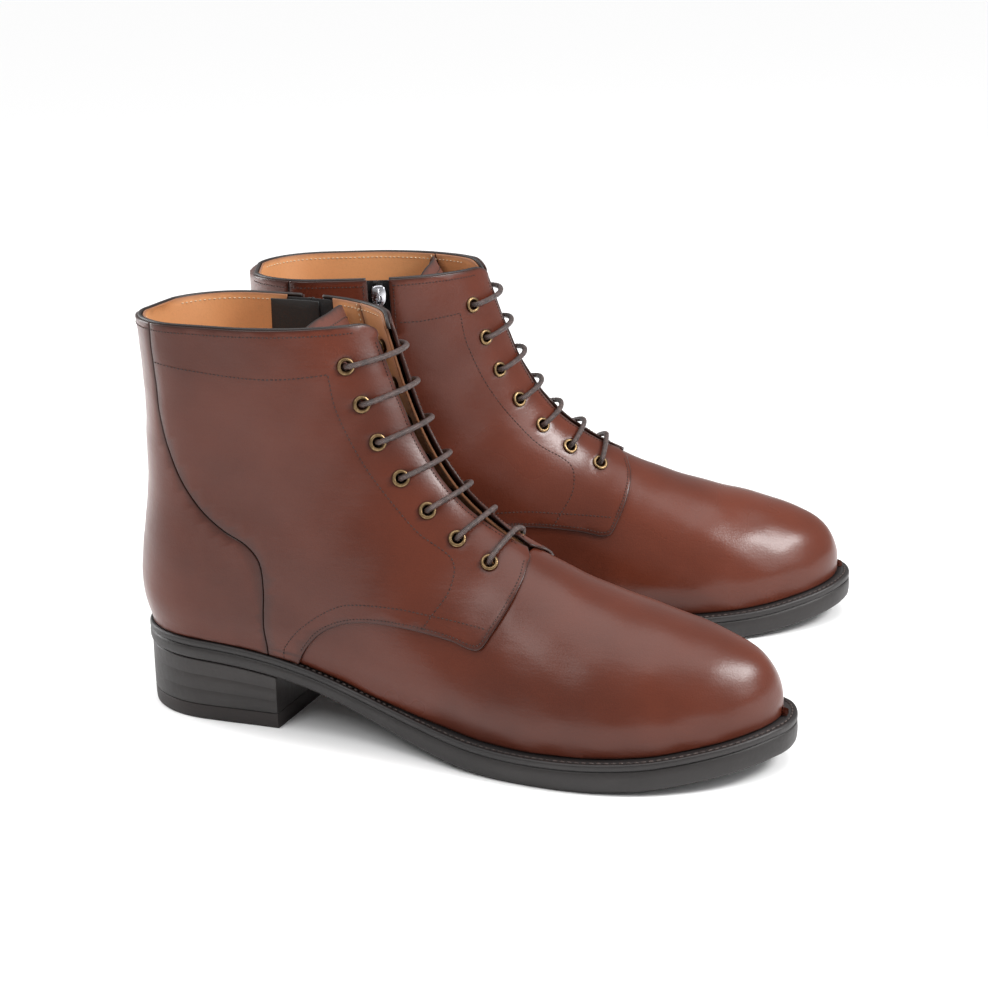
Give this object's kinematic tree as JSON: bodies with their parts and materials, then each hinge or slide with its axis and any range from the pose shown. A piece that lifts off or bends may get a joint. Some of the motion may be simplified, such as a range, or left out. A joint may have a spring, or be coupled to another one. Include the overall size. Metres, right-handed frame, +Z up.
{
  "type": "pair of ankle boots",
  "caption": "Pair of lace-up derby ankle boots in brown leather, with straight-laced facings, an inner-side ankle zip, a welted sole and a stacked block heel",
  "frame": {"origin": "middle of the pair's bounding box, on the floor", "axes": "+X points to the toes, +Y to the wearer's left, +Z up"},
  "size_m": [0.3184, 0.285, 0.184],
  "materials": {
    "upper_leather": "smooth brown calf leather, satin polish",
    "lining_leather": "smooth tan lining leather, matt",
    "black_leather": "black soft leather, matt",
    "sole_rubber": "dark brown-black rubber, satin edge",
    "fibre_board": "fibre board and cork filler, matt",
    "steel": "bright nickelled steel",
    "antique_brass": "aged brass, satin",
    "waxed_cord": "round waxed lace, dark grey-brown",
    "zip_tape": "black woven tape with black teeth"
  },
  "bodies": {
    "right_boot": {"right_welt": "sole_rubber", "right_cork_filler": "fibre_board", "right_shank": "steel", "right_outsole": "sole_rubber", "right_heel_base": "sole_rubber", "right_heel_top_piece": "sole_rubber", "right_insole": "fibre_board", "right_sock_liner": "lining_leather", "right_vamp": "upper_leather", "right_lateral_quarter": "upper_leather", "right_medial_quarter": "upper_leather", "right_medial_rear_quarter": "upper_leather", "right_back_panel": "upper_leather", "right_vamp_lining": "lining_leather", "right_medial_lining": "lining_leather", "right_quarter_lining": "lining_leather", "right_lateral_facing": "lining_leather", "right_lateral_eyelet_row": "antique_brass", "right_medial_facing": "lining_leather", "right_medial_eyelet_row": "antique_brass", "right_tongue": "black_leather", "right_zip_front_stringer": "zip_tape", "right_zip_rear_stringer": "zip_tape", "right_zip_guard": "black_leather", "right_lace": "waxed_cord"},
    "right_slider": {"right_zip_slider": "steel"},
    "right_pull": {"right_zip_pull": "steel"},
    "left_boot": {"left_welt": "sole_rubber", "left_cork_filler": "fibre_board", "left_shank": "steel", "left_outsole": "sole_rubber", "left_heel_base": "sole_rubber", "left_heel_top_piece": "sole_rubber", "left_insole": "fibre_board", "left_sock_liner": "lining_leather", "left_vamp": "upper_leather", "left_lateral_quarter": "upper_leather", "left_medial_quarter": "upper_leather", "left_medial_rear_quarter": "upper_leather", "left_back_panel": "upper_leather", "left_vamp_lining": "lining_leather", "left_medial_lining": "lining_leather", "left_quarter_lining": "lining_leather", "left_lateral_facing": "lining_leather", "left_lateral_eyelet_row": "antique_brass", "left_medial_facing": "lining_leather", "left_medial_eyelet_row": "antique_brass", "left_tongue": "black_leather", "left_zip_front_stringer": "zip_tape", "left_zip_rear_stringer": "zip_tape", "left_zip_guard": "black_leather", "left_lace": "waxed_cord"},
    "left_slider": {"left_zip_slider": "steel"},
    "left_pull": {"left_zip_pull": "steel"}
  },
  "joints": [
    {"name": "right_zip_slide", "type": "slide", "parent": "right_boot", "child": "right_slider", "axis": [0.0294, -0.0594, -0.9978], "range_m": [0, 0.1]},
    {"name": "right_pull_swing", "type": "hinge", "parent": "right_slider", "child": "right_pull", "pos_m": [-0.08211, -0.02134, 0.17599], "axis": [-0.9812, 0.189, -0.0402], "range_deg": [-150, 0]},
    {"name": "left_zip_slide", "type": "slide", "parent": "left_boot", "child": "left_slider", "axis": [0.027, 0.0605, -0.9978], "range_m": [0, 0.1]},
    {"name": "left_pull_swing", "type": "hinge", "parent": "left_slider", "child": "left_pull", "pos_m": [-0.06187, 0.01521, 0.17599], "axis": [-0.9728, -0.2282, -0.0402], "range_deg": [0, 150]},
    {"name": "left_boot_lift", "type": "slide", "parent": "right_boot", "child": "left_boot", "axis": [0, 0, 1], "range_m": [0, 0.06]}
  ]
}
